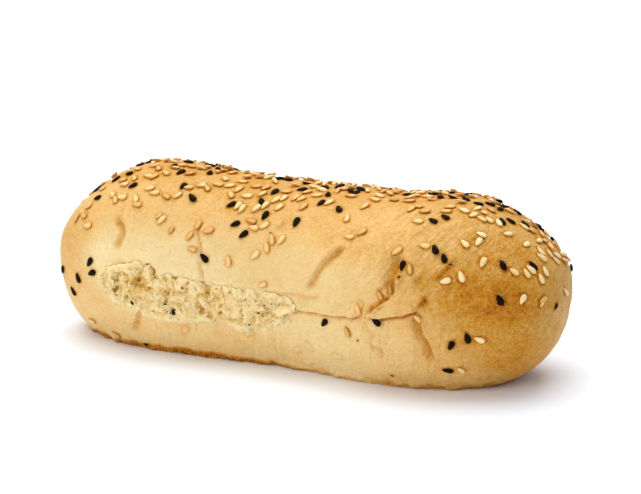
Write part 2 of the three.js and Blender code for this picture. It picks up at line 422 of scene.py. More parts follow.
def new_mesh(name, points, faces):
    """A smooth-shaded object whose mesh holds these points, given in millimetres."""
    mesh = bpy.data.meshes.new(name)
    mesh.from_pydata((np.asarray(points) * MM).tolist(), [], [list(map(int, face)) for face in faces])
    mesh.shade_smooth()
    piece = bpy.data.objects.new(name, mesh)
    bpy.context.scene.collection.objects.link(piece)
    return piece


along_lines = lines((-90, -46, 1.2), (-46, 9, 0.48), (9, 19, 0.5), (19, 40, 0.32), (40, 90, 1.2))[1:]
round_lines = lines((-62, -28, 1.2), (-28, 14, 0.6), (14, 112, 1.3), (112, 298, 3.0))


def build_crust():
    """The crust as rings of points round the bun, closed by a point at each end."""
    along, round_ = np.meshgrid(along_lines, (round_lines + 180) % 360 - 180, indexing="ij")
    plain = crust_point(along, round_)
    points = plain + crust_normal(along, round_) * relief(along, round_, plain)[..., None]
    # The rim, in mm, at the foot of the sides.
    rim = step(2.8, 0.4, points[..., 2]) * (0.6 + 1.0 * rough(plain, 2.4, 21))
    outward = crust_normal(along, 0 * round_ + np.where(np.abs(round_) < 90, 0, 180))
    points += np.clip(rim, -0.1, 1.5)[..., None] * outward * [1, 1, 0] * (plain[..., 2:] > -1.5)
    points[..., 2] = np.maximum(points[..., 2], 0)
    rings, sides = along.shape
    tips = [[-LENGTH / 2, 0, WIDEST - WIDEST_RISE], [LENGTH / 2, 0, WIDEST + WIDEST_RISE]]
    index = np.arange(rings * sides).reshape(rings, sides)
    ahead = np.roll(index, -1, axis=1)
    quads = np.stack([index[:-1], index[1:], ahead[1:], ahead[:-1]], -1).reshape(-1, 4)
    left = [(rings * sides, a, b) for a, b in zip(index[0], ahead[0])]
    right = [(rings * sides + 1, b, a) for a, b in zip(index[-1], ahead[-1])]
    faces = [tuple(quad) for quad in quads] + left + right
    return new_mesh("baked_bun", np.vstack([points.reshape(-1, 3), tips]), faces)


bun = build_crust()
print(f"crust: {len(bun.data.vertices)} points, {len(bun.data.polygons)} faces")

# %% [markdown]
# ## The crumb
#
# Crumb is foam: gas bubbles from under half a millimetre to several millimetres, with thin walls between
# them. Torn foam shows open bubbles, and rags and threads of their walls. So it is made like foam. A block
# of small cells holds the distance to the torn surface, bubbles are taken out of it, threads are added, and
# OpenVDB, the library behind Blender's volumes, turns the block into a mesh. A displaced surface would only
# give bumps.

# %% Grow the crumb
VOXEL = 0.28  # side of a cell, in mm
BUBBLES, THREADS = 60, 1500
rng = np.random.default_rng(5)
outline = crust_point(*np.array(TEAR, float).T)
block_low = outline.min(0) - [3, 2, 3]
block_high = outline.max(0) + [3, 0, 2]
block_high[1] = outline[:, 1].max() + 4.5
counts = np.ceil((block_high - block_low) / VOXEL).astype(int)
cells = block_low + np.stack(np.meshgrid(*map(np.arange, counts), indexing="ij"), -1) * VOXEL
cell_along, cell_round, cell_above = crust_place(cells)
cell_flat = laid_flat(cell_along, cell_round)
cell_inside = inside_tear(cell_flat)

# Larger hollows in the torn patch: place as (along, round), half length and half height in mm, and depth.
HOLLOWS = [
    ((-30.2, -3.5), 2.4, 2.2, 1.7), ((-24.4, -7.5), 1.7, 1.1, 1.2), ((-16.2, -13), 1.3, 1.8, 1.3),
    ((-26.6, 3.5), 0.9, 2.4, 2.0), ((-14.8, -4), 0.7, 3.0, 1.4), ((-2.9, -2), 0.9, 1.2, 1.3),
    ((-22.5, -16), 1.0, 1.3, 0.8), ((-36, -8), 1.6, 0.8, 0.7), ((-9, -9), 1.2, 0.9, 0.6),
    ((2.6, -13), 0.8, 1.6, 0.8),
]


def torn_height(flat, inside):
    """Height of the torn surface over the crust beside it, in mm, before bubbles and threads."""
    height = -0.5 + 0.35 * noise(flat, 6.5, 41)
    height += 2.0 * np.abs(noise(flat, 3.4, 42)) + 0.7 * np.abs(noise(flat, 1.7, 43))  # lumps and creases
    for place, half_length, half_height, depth in HOLLOWS:
        away = (flat - laid_flat(*map(np.float64, place))) / [half_length, half_height]
        height = height - depth * np.exp(-((away**2).sum(-1) ** 1.5))
    height += 0.6 * step(2.0, 0, np.abs(inside))  # the rim of the crumb swells over the edge of the crust
    under_skin = np.clip(1.8 * noise(flat, 4, 47), 0, 1.5) * step(1.6, 0, inside)
    return height - np.where(above_middle(flat), under_skin, 1.0 * step(0.4, -2.2, inside))


def above_middle(flat):
    """Whether a point is nearer the upper edge of the tear, where the skin overhangs, than the lower one."""
    return flat[..., 1] > -3.2 - 0.055 * flat[..., 0]


def carve(block, centre, join, reach):
    """Joins one ball or thread into the block, working only on the cells near it."""
    first = np.maximum(((centre - reach - block_low) / VOXEL).astype(int), 0)
    last = np.minimum(((centre + reach - block_low) / VOXEL).astype(int) + 2, counts)
    near = tuple(slice(a, b) for a, b in zip(first, last))
    if all(b > a for a, b in zip(first, last)):
        block[near] = join(block[near], cells[near])


def grow_crumb():
    """Distance of every cell from the surface of the crumb, in mm, below 0 inside the crumb."""
    surface = torn_height(cell_flat, cell_inside)
    near = np.abs(cell_above) < 2.5
    surface[near] += relief(cell_along[near], cell_round[near], cells[near], torn=False)
    block = cell_above - surface + 0.45 * noise(cells, 1.2, 44) + 0.3 * noise(cells, 0.65, 45)
    picks = np.argwhere((np.abs(cell_above - surface) < 0.9) & (cell_inside > 0.1))
    for cell in picks[rng.integers(len(picks), size=BUBBLES)]:
        radius = np.clip(rng.lognormal(-0.6, 0.4), 0.35, 1.0)
        centre = cells[tuple(cell)] + rng.uniform(-0.5, 0.5, 3) * VOXEL
        stretch = rng.uniform(0.75, 1.5, 3)

        def bubble(old, at, centre=centre, radius=radius, stretch=stretch):
            return np.maximum(old, radius - np.linalg.norm((at - centre) / stretch, axis=-1))

        carve(block, centre, bubble, radius * 1.8)
    picks = np.argwhere((np.abs(block) < VOXEL) & (cell_inside > 0.2) & (np.abs(cell_above - surface) < 1.2))
    for cell in picks[rng.integers(len(picks), size=THREADS)]:
        start = cells[tuple(cell)]
        run = rng.normal(size=3) * [0.8, 0.35, 0.8] + [0, -0.45, 0.1]
        run *= rng.uniform(0.6, 2.2) / np.linalg.norm(run)
        thickness = rng.uniform(0.16, 0.28)

        def thread(old, at, start=start, run=run, thickness=thickness):
            t = np.clip(((at - start) @ run) / (run @ run), 0, 1)
            gap = np.linalg.norm(at - start - t[..., None] * run, axis=-1)
            return np.minimum(old, gap - thickness * (1 - 0.4 * t))

        carve(block, start, thread, 2.4)
    # Rags of crumb reach further past the lower edge of the tear than past the upper one.
    reach = np.where(above_middle(cell_flat), 0.35, 1.6 + 0.8 * rough(cell_flat, 2.2, 46))
    block = np.maximum(block, -reach - cell_inside)
    # A mesh from a block is only closed if the block is empty along its walls.
    walls = np.minimum(cells - block_low, block_low + (counts - 1) * VOXEL - cells).min(-1)
    return np.maximum(block, VOXEL - walls)


def mesh_of_block(name, block):
    """The surface where the block's distance is 0, as an object."""
    grid = openvdb.FloatGrid(3 * VOXEL)
    grid.copyFromArray(np.clip(block, -3 * VOXEL, 3 * VOXEL))
    points, triangles, quads = grid.convertToPolygons(isovalue=0.0, adaptivity=0.0)
    faces = [tuple(face[::-1]) for face in quads] + [tuple(face[::-1]) for face in triangles]
    return new_mesh(name, block_low + points * VOXEL, faces)


crumb = mesh_of_block("crumb", grow_crumb())
print(f"crumb: {tuple(counts)} cells, {len(crumb.data.polygons)} faces")

# %% [markdown]
# ## One loaf again
#
# Crust and crumb were baked as one piece, so they become one closed mesh: a boolean union joins the two solids
# and keeps each face's own material. Afterwards every point is given the numbers that its materials read: how
# brown it is baked, with painted shade added where it lies in a fold.

# %% Join crust and crumb


def applied(piece):
    """Turns a piece with its modifiers into a plain mesh."""
    depsgraph = bpy.context.evaluated_depsgraph_get()
    mesh = bpy.data.meshes.new_from_object(piece.evaluated_get(depsgraph), depsgraph=depsgraph)
    piece.modifiers.clear()
    old, piece.data = piece.data, mesh
    bpy.data.meshes.remove(old)
    return piece


for piece, material_name in ((bun, "baked_crust"), (crumb, "torn_crumb")):
    piece.data.materials.append(bpy.data.materials.new(material_name))
thin = crumb.modifiers.new("fewer faces", "DECIMATE")
thin.ratio = 0.46
applied(crumb)
join = bun.modifiers.new("join crumb", "BOOLEAN")
join.operation, join.solver, join.object = "UNION", "MANIFOLD", crumb
join.material_mode = "TRANSFER"
applied(bun)
bpy.data.objects.remove(crumb)
bun.data.shade_smooth()
triangles = sum(len(polygon.vertices) - 2 for polygon in bun.data.polygons)
print(f"bun: {triangles} triangles after the union, materials {[m.name for m in bun.data.materials]}")

# %% [markdown]
# ## A few small helpers
#
# Everything from here on is either a number stored on a mesh, so that a material or a node tree can read
# it, or a node tree. These helpers store the numbers and add the nodes.

# %% Helpers for attributes and nodes


def store(piece, name, values):
    """Keeps a number for each point of the mesh under a name."""
    attribute = piece.data.attributes.new(name, "FLOAT", "POINT")
    attribute.data.foreach_set("value", np.ascontiguousarray(values, dtype=np.float32))


def points_of(piece):
    """The mesh's points, in millimetres."""
    flat = np.empty(len(piece.data.vertices) * 3, dtype=np.float32)
    piece.data.vertices.foreach_get("co", flat)
    return flat.reshape(-1, 3) / MM


def gaps_to(points, others):
    """Distance from each point to the nearest of the others."""
    tree = KDTree(len(others))
    for i, other in enumerate(others):
        tree.insert(other, i)
    tree.balance()
    return np.array([tree.find(point)[2] for point in points])


def linear(colour):
    """An sRGB hex colour as linear red, green, blue and alpha."""
    parts = [int(colour[i:i + 2], 16) / 255 for i in (1, 3, 5)]
    return [p / 12.92 if p <= 0.04045 else ((p + 0.055) / 1.055) ** 2.4 for p in parts] + [1.0]


def add(tree, kind, settings=None, stops=(), **inputs):
    """Adds a node. Settings are its properties, and stops are a colour ramp's (position, hex colour) pairs.
    Inputs are values, the sockets that they come from, or nodes whose first output they come from."""
    node = tree.nodes.new(kind)
    for name, value in (settings or {}).items():
        setattr(node, name, value)
    for position, _ in stops[2:]:
        node.color_ramp.elements.new(position)
    if stops:
        for element, (position, colour) in zip(node.color_ramp.elements, sorted(stops)):
            element.position, element.color = position, linear(colour)
    for name, value in inputs.items():
        key = int(name[1:]) if name[0] == "_" and name[1:].isdigit() else name.replace("_", " ")
        socket = node.inputs[key]
        if isinstance(value, bpy.types.Node):
            value = value.outputs[0]
        if isinstance(value, bpy.types.NodeSocket):
            tree.links.new(value, socket)
        else:
            socket.default_value = value
    return node


print("the bun's mesh has", len(points_of(bun)), "points")

# %% [markdown]
# ## One sesame seed
#
# A sesame seed is a flat drop, 3.3 mm long, with one blunt and one pointed end. Only a few dozen faces are
# needed, because smooth shading rounds them and there are hundreds of copies. The mesh carries two helpers
# for its material: a UV map that runs round and along the seed, and how near each point is to the seed's
# thin edge.

# %% One seed
SEED_LENGTH, SEED_WIDTH, SEED_THICKNESS = 3.3, 2.0, 0.85
SEED_SIDES = 8
# Half widths along the seed from its tail to its blunt end, as (place, share of the full half width).
SEED_PROFILE = [(-1, 0), (-0.86, 0.3), (-0.5, 0.68), (0.0, 0.95), (0.45, 1.0), (0.82, 0.7), (1, 0)]


def make_seed(name):
    """A seed along +X, with its blunt end at +X and its flat face up."""
    rounds = np.linspace(0, 2 * np.pi, SEED_SIDES, endpoint=False)
    rings = [[(SEED_LENGTH / 2 * place, SEED_WIDTH / 2 * share * np.cos(a),
               SEED_THICKNESS / 2 * share**0.6 * np.sin(a) * (1 + 0.15 * np.cos(2 * a))) for a in rounds]
             for place, share in SEED_PROFILE[1:-1]]
    points = [(-SEED_LENGTH / 2, 0, 0)] + [p for ring in rings for p in ring] + [(SEED_LENGTH / 2, 0, 0)]
    tip, count = len(points) - 1, SEED_SIDES
    faces = [(0, 1 + (i + 1) % count, 1 + i) for i in range(count)]
    for ring in range(len(rings) - 1):
        a, b = 1 + ring * count, 1 + (ring + 1) * count
        faces += [(a + i, a + (i + 1) % count, b + (i + 1) % count, b + i) for i in range(count)]
    last = 1 + (len(rings) - 1) * count
    faces += [(last + i, last + (i + 1) % count, tip) for i in range(count)]
    seed = new_mesh(name, points, faces)
    uv = seed.data.uv_layers.new(name="UVMap")
    for polygon in seed.data.polygons:
        around = [(v - 1) % count for v in polygon.vertices if 0 < v < tip]
        wraps = max(around) - min(around) > 1
        middle = np.mean([i + count * (wraps and i == 0) for i in around])
        for loop, v in zip(polygon.loop_indices, polygon.vertices):
            i = (v - 1) % count
            u = middle if v in (0, tip) else i + count * (wraps and i == 0)
            uv.data[loop].uv = (u / count, points[v][0] / SEED_LENGTH + 0.5)
    edge = [abs(np.cos(rounds[(v - 1) % count])) if 0 < v < tip else 1.0 for v in range(len(points))]
    tail = [np.clip(-0.6 - 2 * p[0] / SEED_LENGTH * 1.6, 0, 1) for p in points]
    store(seed, "edge", np.maximum(edge, tail) ** 2)
    return seed


seed_shape = make_seed("seed_shape")
SEED_FACES = len(seed_shape.data.polygons)
print(f"one seed: {SEED_FACES} faces")

# %% [markdown]
# ## Where the seeds lie
#
# Before baking the wet crown was rolled in seeds, so they are densest along the top and thin out down the
# sides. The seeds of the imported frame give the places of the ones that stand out. The others on the front and
# the near side of the crown are laid one by one from the same kind of list, and the rest is scattered.

# %% Places of the seeds
SEED_LIFT = 0.26  # height of a seed's middle above the crust: the lower part is baked in
SEED_DEFAULTS = (0, 1.04, 0.6)  # heading, size and tint


def seed_rows(rows):
    """Rows of (along, round, heading, size, tint), with the defaults for what is left out at the end."""
    return np.array([tuple(row) + SEED_DEFAULTS[len(row) - 2:] for row in rows], float)


def framed_seeds(kind):
    """The frame's own seeds of a kind, read back from their meshes as rows."""
    rows = []
    for name, node in sorted(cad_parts.items()):
        if not name.startswith(kind):
            continue
        points = points_of(node)
        centre = (points.min(0) + points.max(0)) / 2
        axis = np.linalg.svd(points - points.mean(0), full_matrices=False)[2][0]
        passed = (points - centre) @ axis
        width = np.linalg.norm(points - centre - passed[:, None] * axis, axis=1)
        axis *= np.sign((passed * width).sum())
        along, round_, _ = crust_place(centre[None])
        forward = crust_point(along + 0.5, round_)[0] - crust_point(along - 0.5, round_)[0]
        forward /= np.linalg.norm(forward)
        upward = np.cross(crust_normal(along, round_)[0], forward)
        rows.append((along[0], round_[0], math.degrees(math.atan2(axis @ upward, axis @ forward))))
    return rows


# Seeds beyond the frame's own, as such rows. The first ten black ones are only splinters.
BLACK_MORE = [
    (28.6, 21.2, 40, 0.25), (38.7, 32.1, 0, 0.28), (26, -39.1, -30, 0.3), (19.9, -17.9, 60, 0.2),
    (-32.1, -14.2, -60, 0.5), (-24.1, -12.6, 20, 0.3), (-19.8, -2.5, 80, 0.3), (0, -6.3, -50, 0.3),
    (-5.5, -18.6, 10, 0.3), (-1.9, 37.2, 0, 0.22), (-53, 78.5, 20), (-30, 82.5, 65, 0.8), (-24, 98.5, 10),
    (-21.5, 94.5, -60), (-7.5, 95.5, 70), (4, 89, -15), (27, 96.5, 0), (35, 91, -35), (40, 97.5, 20),
    (50, 98, -10), (45.6, 81.1, -50), (-22.4, -16.4, 75, 0.8), (4.9, -7.3, 15, 0.8), (80.5, -2, 40, 0.6),
    (-24.5, -47, 0), (-31.5, -46, -10),
]
WHITE_MORE = [
    (-41.8, 53, -50), (-40, 47.4, -60), (-38.2, 48.6, -5), (-34.2, 47.4, -60), (-33.3, 43.1, 0, 1, 0.9),
    (-31.7, 55.6, 25), (-30, 52.8, 15), (-27.1, 51.7, -20), (-24.7, 53.9, 60), (-26.4, 35.8, 55),
    (-27.2, 38, 50, 0.7), (-23.7, 30.4, 70, 0.7, 0.9), (-47.4, 31.1, -5), (-33.8, 66.8, -10),
    (-32.2, 66.4, 60), (-37.4, 65.5, -60), (-39.4, 60.3, -10), (-40.8, 65.5, -10), (-30.1, 71.1, -30),
    (-32.8, 76.3, -60), (-38.6, 77.1, -30), (-25, 75.4, 50, 1, 0.9), (-23.3, 62, 20), (-21, 66.4, 60),
    (-47.8, 65.5, -20), (-49.7, 48.3, 10), (-54, 40.5, 70), (-50.3, 40.5, -30), (-26.5, 85.8, 0),
    (-29.2, 79.3, 0, 1, 0.9), (-17.7, 69.8, 0), (-15.2, 70.7, 30), (-12.8, 68.1, 70), (-13.7, 62.1, -50),
    (-10.2, 62.9, 10), (-19.4, 64.7, -50), (-20.9, 66, 20), (-9.8, 75, 20), (-7.6, 75, 65),
    (-7.3, 67.2, 60), (-5.3, 56.9, 70), (-6.9, 53.4, 60), (-3.7, 63.4, 60), (-2.3, 66.4, 75),
    (-2.1, 56.9, 60), (-11, 53.4, 70), (-9.9, 51.7, 75), (-6.9, 43.5, -5), (-3.7, 41.4, 40),
    (-1.2, 33.2, -65), (0.9, 33.6, 60), (-2, 27.6, -70), (-4.3, 22, 45), (3.1, 59.9, 70), (1.6, 67.7, 55),
    (7.9, 68.1, 60), (13.8, 56, -75), (-18.1, 36.2, 70), (-15.5, 33.6, 25), (-19.4, 28.9, 60),
    (-18.4, 21.1, -10), (-10.1, 16.4, -80), (1.6, 77.2, 50), (-2.8, 74.1, 20), (4.4, 74.1, 30),
    (11.3, 79.7, 0), (-17.4, 78.4, -40), (-13.4, 78.4, 10), (0.2, 68.1, 70), (-2.1, 4.1, 20, 0.8),
    (15.9, 69.2, 75), (16.9, 78.2, -20), (18.2, 47.1, 45), (24.2, 79.3, 10, 1.2), (26.1, 69.2, 70),
    (27.1, 72.5, -10, 1, 0.9), (29.4, 67.1, 20, 1, 0.9), (29.1, 58.1, 0), (33.8, 74.6, 30),
    (33.6, 69.2, 15), (37, 74, -10), (39.4, 72.8, 65), (41.5, 72.2, -5), (43, 75.2, -25),
    (45.2, 77.6, -50), (54.6, 73, 75), (59.8, 78.7, -20), (61.5, 72.2, 10, 1.2), (65.9, 58.5, -40),
    (65.2, 45.3, -45), (56.7, 90.7, 85), (62.7, 87.7, -20), (66.7, 89.5, 30), (50.5, 93, 0), (65, 99, 60),
    (43.2, 58.5, 0), (59.8, 49.3, -15), (58.8, 43.5, -40), (26.9, 36.7, 40), (41.7, 87.7, 0, 1, 0.9),
    (30.5, 26.5, -75), (26.8, 13.5, -75, 1, 0.75), (25, 9.5, -60, 0.9, 0.7), (20.6, -0.5, -75),
    (41.2, -35.8, -60), (69.2, 18, 30, 1, 0.9), (33, -2.4, -40, 0.9, 0.9), (17.7, -14, -80, 1, 0.6),
    (20.9, 79.3, 0, 1, 0.9), (69, 13, 60, 0.9, 1.0), (-48, -41, 10), (-40, -44, -30), (-14, -47, 5),
    (-3, -49, 0), (8, -50, 20), (24, -51, -10),
]


def seed_points(name, rows):
    """A mesh of bare points, one for each seed, that carries the seed's turn, size and tint."""
    along, round_, heading, size, tint = seed_rows(rows).T
    tint = tint - 0.3 * step(28, 42, along)  # the right end has the palest seeds
    normal = crust_normal(along, round_)
    forward = crust_point(along + 0.5, round_) - crust_point(along - 0.5, round_)
    forward /= np.linalg.norm(forward, axis=-1, keepdims=True)
    upward = np.cross(normal, forward)
    turn = np.radians(heading)[:, None]
    length = forward * np.cos(turn) + upward * np.sin(turn)
    bases = np.stack([length, np.cross(normal, length), normal], -1)
    plain = crust_point(along, round_)
    # A seed rests on what is under it, and on the higher parts more than on the lower ones.
    nearby = [(0, 0), (0.8, 0), (-0.8, 0), (0, 2.2), (0, -2.2)]  # in degrees from its middle
    below = [relief(along + a, round_ + r, crust_point(along + a, round_ + r)) for a, r in nearby]
    height = np.maximum((np.mean(below, axis=0) + np.max(below, axis=0)) / 2, -0.6) + SEED_LIFT
    flat = laid_flat(along, round_)
    inside = inside_tear(flat)
    height = np.where(inside > 0.5, torn_height(flat, inside) + 0.4, height)  # some lie on the crumb
    place = plain + normal * height[:, None]
    half_height = np.abs(bases[:, 2]) @ [SEED_LENGTH / 2, SEED_WIDTH / 2, SEED_THICKNESS / 2] * size
    place[:, 2] = np.maximum(place[:, 2], half_height)  # none reaches below the tabletop
    piece = new_mesh(name, place, [])
    eulers = [Matrix(basis.tolist()).to_euler()[:] for basis in bases]
    piece.data.attributes.new("euler", "FLOAT_VECTOR", "POINT").data.foreach_set("vector", np.ravel(eulers))
    store(piece, "size", size)
    store(piece, "tint", tint)
    return piece


placed = {
    "black": seed_points("black_places", framed_seeds("black_sesame") + BLACK_MORE),
    "white": seed_points("white_places", framed_seeds("white_sesame") + WHITE_MORE),
}
taken = np.vstack([points_of(piece) for piece in placed.values()])
along, round_, _ = crust_place(points_of(bun))
room = step(76, 92, round_) * (1 - 0.85 * step(128, 158, round_)) + step(-150, -178, round_) * 0.1
room *= step(86, 70, np.abs(along))
gap = gaps_to(points_of(bun), taken)
store(bun, "room", room * (gap > 2.5))
print({kind: len(piece.data.vertices) for kind, piece in placed.items()}, "seeds laid one by one")

# %% [markdown]
# ## Scattering and laying the seeds with Geometry Nodes
#
# One tree does both jobs. It scatters points over the crust where there is room, turns each to lie flat and
# spins it at random, adds the laid places, and puts a copy of the seed at every point. The tree runs twice
# with the same random numbers, once keeping the points that drew black and once the others, so no two seeds
# clash.

# %% Seed tree
# What a point carries for its seed, and the room for seeds on the crust.
CARRIED = {"euler": "FLOAT_VECTOR", "turn": "QUATERNION", "size": "FLOAT", "tint": "FLOAT", "room": "FLOAT"}
# The random numbers that are drawn for each seed: from, to.
CHANCES = {
    "kind": (0.0, 1.0), "tip": (-0.35, 0.35), "roll": (-0.35, 0.35), "heading": (0.0, 2 * math.pi),
    "size": (0.9, 1.15), "tint": (0.25, 0.75), "laid size": (0.9, 1.06), "laid tint": (-0.22, 0.22),
    "lift": (0.8, 2.6), "narrowing": (0.72, 0.98),
}


def seed_tree():
    """The node tree that scatters seeds over the crust, adds the laid ones, and makes them real geometry."""
    tree = bpy.data.node_groups.new("lay_seeds", "GeometryNodeTree")
    sockets = (("Crust", "Geometry"), ("Places", "Object"), ("Seed", "Object"), ("Spacing", "Float"),
               ("Density", "Float"), ("Random Seed", "Int"), ("Black Share", "Float"), ("Black", "Bool"),
               ("Lift", "Float"), ("Material", "Material"))
    for name, kind in sockets:
        tree.interface.new_socket(name, in_out="INPUT", socket_type=f"NodeSocket{kind}")
    tree.interface.new_socket("Seeds", in_out="OUTPUT", socket_type="NodeSocketGeometry")
    given = add(tree, "NodeGroupInput").outputs
    carried = {name: add(tree, "GeometryNodeInputNamedAttribute", {"data_type": kind}, Name=name)
               for name, kind in CARRIED.items()}
    chance = {}
    for extra, (name, (least, most)) in enumerate(CHANCES.items(), start=1):
        seed = add(tree, "ShaderNodeMath", {"operation": "ADD"}, _0=given["Random Seed"], _1=extra)
        drawn = add(tree, "FunctionNodeRandomValue", {"data_type": "FLOAT"}, _2=least, _3=most, Seed=seed)
        chance[name] = drawn.outputs[1]

    def carrying(points, **values):
        """The points with what their seeds need stored on them."""
        for name, value in values.items():
            points = add(tree, "GeometryNodeStoreNamedAttribute", {"data_type": CARRIED[name]},
                         Geometry=points, Name=name, Value=value)
        return points

    # Scatter, and drop the points of the other kind of seed.
    spread = add(tree, "GeometryNodeDistributePointsOnFaces", {"distribute_method": "POISSON"},
                 Mesh=given["Crust"], Distance_Min=given["Spacing"], Density_Max=given["Density"],
                 Density_Factor=carried["room"], Seed=given["Random Seed"])
    drew_black = add(tree, "FunctionNodeCompare", {"operation": "LESS_THAN"}, A=chance["kind"],
                     B=given["Black Share"])
    other = add(tree, "FunctionNodeBooleanMath", {"operation": "XOR"}, _0=drew_black, _1=given["Black"])
    scattered = add(tree, "GeometryNodeDeleteGeometry", {"domain": "POINT"}, Geometry=spread, Selection=other)
    # Lift them by different heights, as some lie on others, and turn each one to lie nearly flat.
    lift = add(tree, "ShaderNodeMath", {"operation": "MULTIPLY"}, _0=given["Lift"], _1=chance["lift"])
    up = add(tree, "ShaderNodeVectorMath", {"operation": "SCALE"}, _0=spread.outputs["Normal"], Scale=lift)
    scattered = add(tree, "GeometryNodeSetPosition", Geometry=scattered, Offset=up)
    spin = add(tree, "ShaderNodeCombineXYZ", X=chance["tip"], Y=chance["roll"], Z=chance["heading"])
    spin = add(tree, "FunctionNodeEulerToRotation", Euler=spin)
    turn = add(tree, "FunctionNodeRotateRotation", {"rotation_space": "LOCAL"},
               Rotation=spread.outputs["Rotation"], Rotate_By=spin)
    scattered = carrying(scattered, turn=turn, size=chance["size"], tint=chance["tint"])
    # The laid places, with a little unevenness of their own.
    laid = add(tree, "GeometryNodeObjectInfo", Object=given["Places"]).outputs["Geometry"]
    laid = add(tree, "GeometryNodeMeshToPoints", Mesh=laid)
    turn = add(tree, "FunctionNodeEulerToRotation", Euler=carried["euler"])
    size = add(tree, "ShaderNodeMath", {"operation": "MULTIPLY"}, _0=carried["size"], _1=chance["laid size"])
    tint = add(tree, "ShaderNodeMath", {"operation": "ADD"}, _0=carried["tint"], _1=chance["laid tint"])
    laid = carrying(laid, turn=turn, size=size, tint=tint)
    points = add(tree, "GeometryNodeJoinGeometry")
    for part in (scattered, laid):
        tree.links.new(part.outputs[0], points.inputs[0])
    # One copy of the seed at every point, as real geometry with its material.
    shape = add(tree, "GeometryNodeObjectInfo", Object=given["Seed"], As_Instance=True).outputs["Geometry"]
    width = add(tree, "ShaderNodeMath", {"operation": "MULTIPLY"}, _0=carried["size"], _1=chance["narrowing"])
    sizes = add(tree, "ShaderNodeCombineXYZ", X=carried["size"], Y=width, Z=carried["size"])
    copies = add(tree, "GeometryNodeInstanceOnPoints", Points=points, Instance=shape,
                 Rotation=carried["turn"], Scale=sizes)
    real = add(tree, "GeometryNodeRealizeInstances", Geometry=copies)
    done = add(tree, "GeometryNodeSetMaterial", Geometry=real, Material=given["Material"])
    add(tree, "NodeGroupOutput", Seeds=done)
    return tree


def lay_seeds(name, tree, **values):
    """Runs the tree on the crust and returns the seeds as a plain mesh of their own."""
    piece = bpy.data.objects.new(name, bun.data.copy())
    bpy.context.scene.collection.objects.link(piece)
    modifier = piece.modifiers.new("seeds", "NODES")
    modifier.node_group = tree
    for socket in tree.interface.items_tree:
        key = socket.name.replace(" ", "_").lower()
        if key in values:
            modifier[socket.identifier] = values[key]
    applied(piece)
    piece.data.name = name
    piece.data.materials.clear()
    piece.data.materials.append(values["material"])
    piece.data.polygons.foreach_set("material_index", [0] * len(piece.data.polygons))
    return piece


tree = seed_tree()
seeds = {}
for kind in ("black", "white"):
    material = bpy.data.materials.new(f"{kind}_sesame")
    seeds[kind] = lay_seeds(
        f"{kind}_sesame_seeds", tree, places=placed[kind], seed=seed_shape, material=material,
        spacing=2.1 * MM, density=140000.0, random_seed=11, black_share=0.16, black=kind == "black",
        lift=SEED_LIFT * MM,
    )
for piece in (*placed.values(), seed_shape):
    bpy.data.objects.remove(piece)
for kind, piece in seeds.items():
    print(kind, "sesame seeds:", len(piece.data.polygons) // SEED_FACES)

# %% [markdown]
# ## How brown each spot is
#
# The oven browns what it reaches. The crown is golden, the right end stood nearest the heat and is the darkest,
# and the front and underside, which a neighbour and the tray shaded, stayed the colour of pale butter. A number
# from 0, unbaked, to 1, deep brown, is worked out for each point from its place on the loaf. Painted shade is
# added to it in the folds and round the seeds. It is stored on the mesh as an attribute, so that the pattern
# stays on the bread wherever the bread is moved.

# %% Bake levels
# How brown the front is at places on it: (along, round, level).
BAKED = [
    (-70, 40, 0.56), (-53, 25, 0.56), (-53, -8, 0.52), (-44, 45, 0.48), (-43, -28, 0.34), (-32, 78, 0.64),
    (-30, 40, 0.5), (-30, 18, 0.3), (-38, 10, 0.06), (-31, 9, 0.06), (-23, 8, 0.14), (-15, -33, 0.33),
    (0, 80, 0.66), (0, 50, 0.56), (-2, 28, 0.34), (-2, 8, 0.28), (14, -25, 0.22), (17, 12, 0.34),
    (20, 45, 0.56), (27, -15, 0.32), (33, 12, 0.58), (37, 72, 0.68), (37, 40, 0.6), (38, -12, 0.68),
    (43, 18, 0.93), (50, 14, 0.97), (52, 52, 0.8), (45, 40, 0.74), (56, 88, 0.66), (67, 20, 0.78),
    (75, 60, 0.76), (54, -14, 0.8), (52, -32, 0.78), (36, -38, 0.48), (70, -25, 0.7),
]


def bake_level(along, round_, points):
    """0 where the crust is pale, 0.5 where it is golden, 1 where it is deep brown."""
    folded_round = np.where(round_ > 90, 180 - round_, round_)  # the back browned as the front did
    folded_round = np.where(round_ < -90, -180 - round_, folded_round)
    total = weights = 0.0
    for place_along, place_round, level in BAKED:
        away = ((along - place_along) / 9) ** 2 + ((folded_round - place_round) / 15) ** 2
        weight = np.exp(-away) + 1e-4 / (1 + away)
        total, weights = total + weight * level, weights + weight
    level = total / weights
    level = np.where(np.abs(round_) > 90, 0.6 * level + 0.26, level)
    level += 0.04 * rough(points, 11, 52) + 0.03 * noise(points, 2.5, 53)
    rim = step(2.6, 0.8, points[..., 2] + 1.3 * noise(points, 3.0, 54))
    rim *= np.where(round_ > -90, 0.4 + 0.6 * step(16, -2, along), 1)  # weaker at the right of the front
    return np.clip(level + 0.6 * rim, 0, 1)


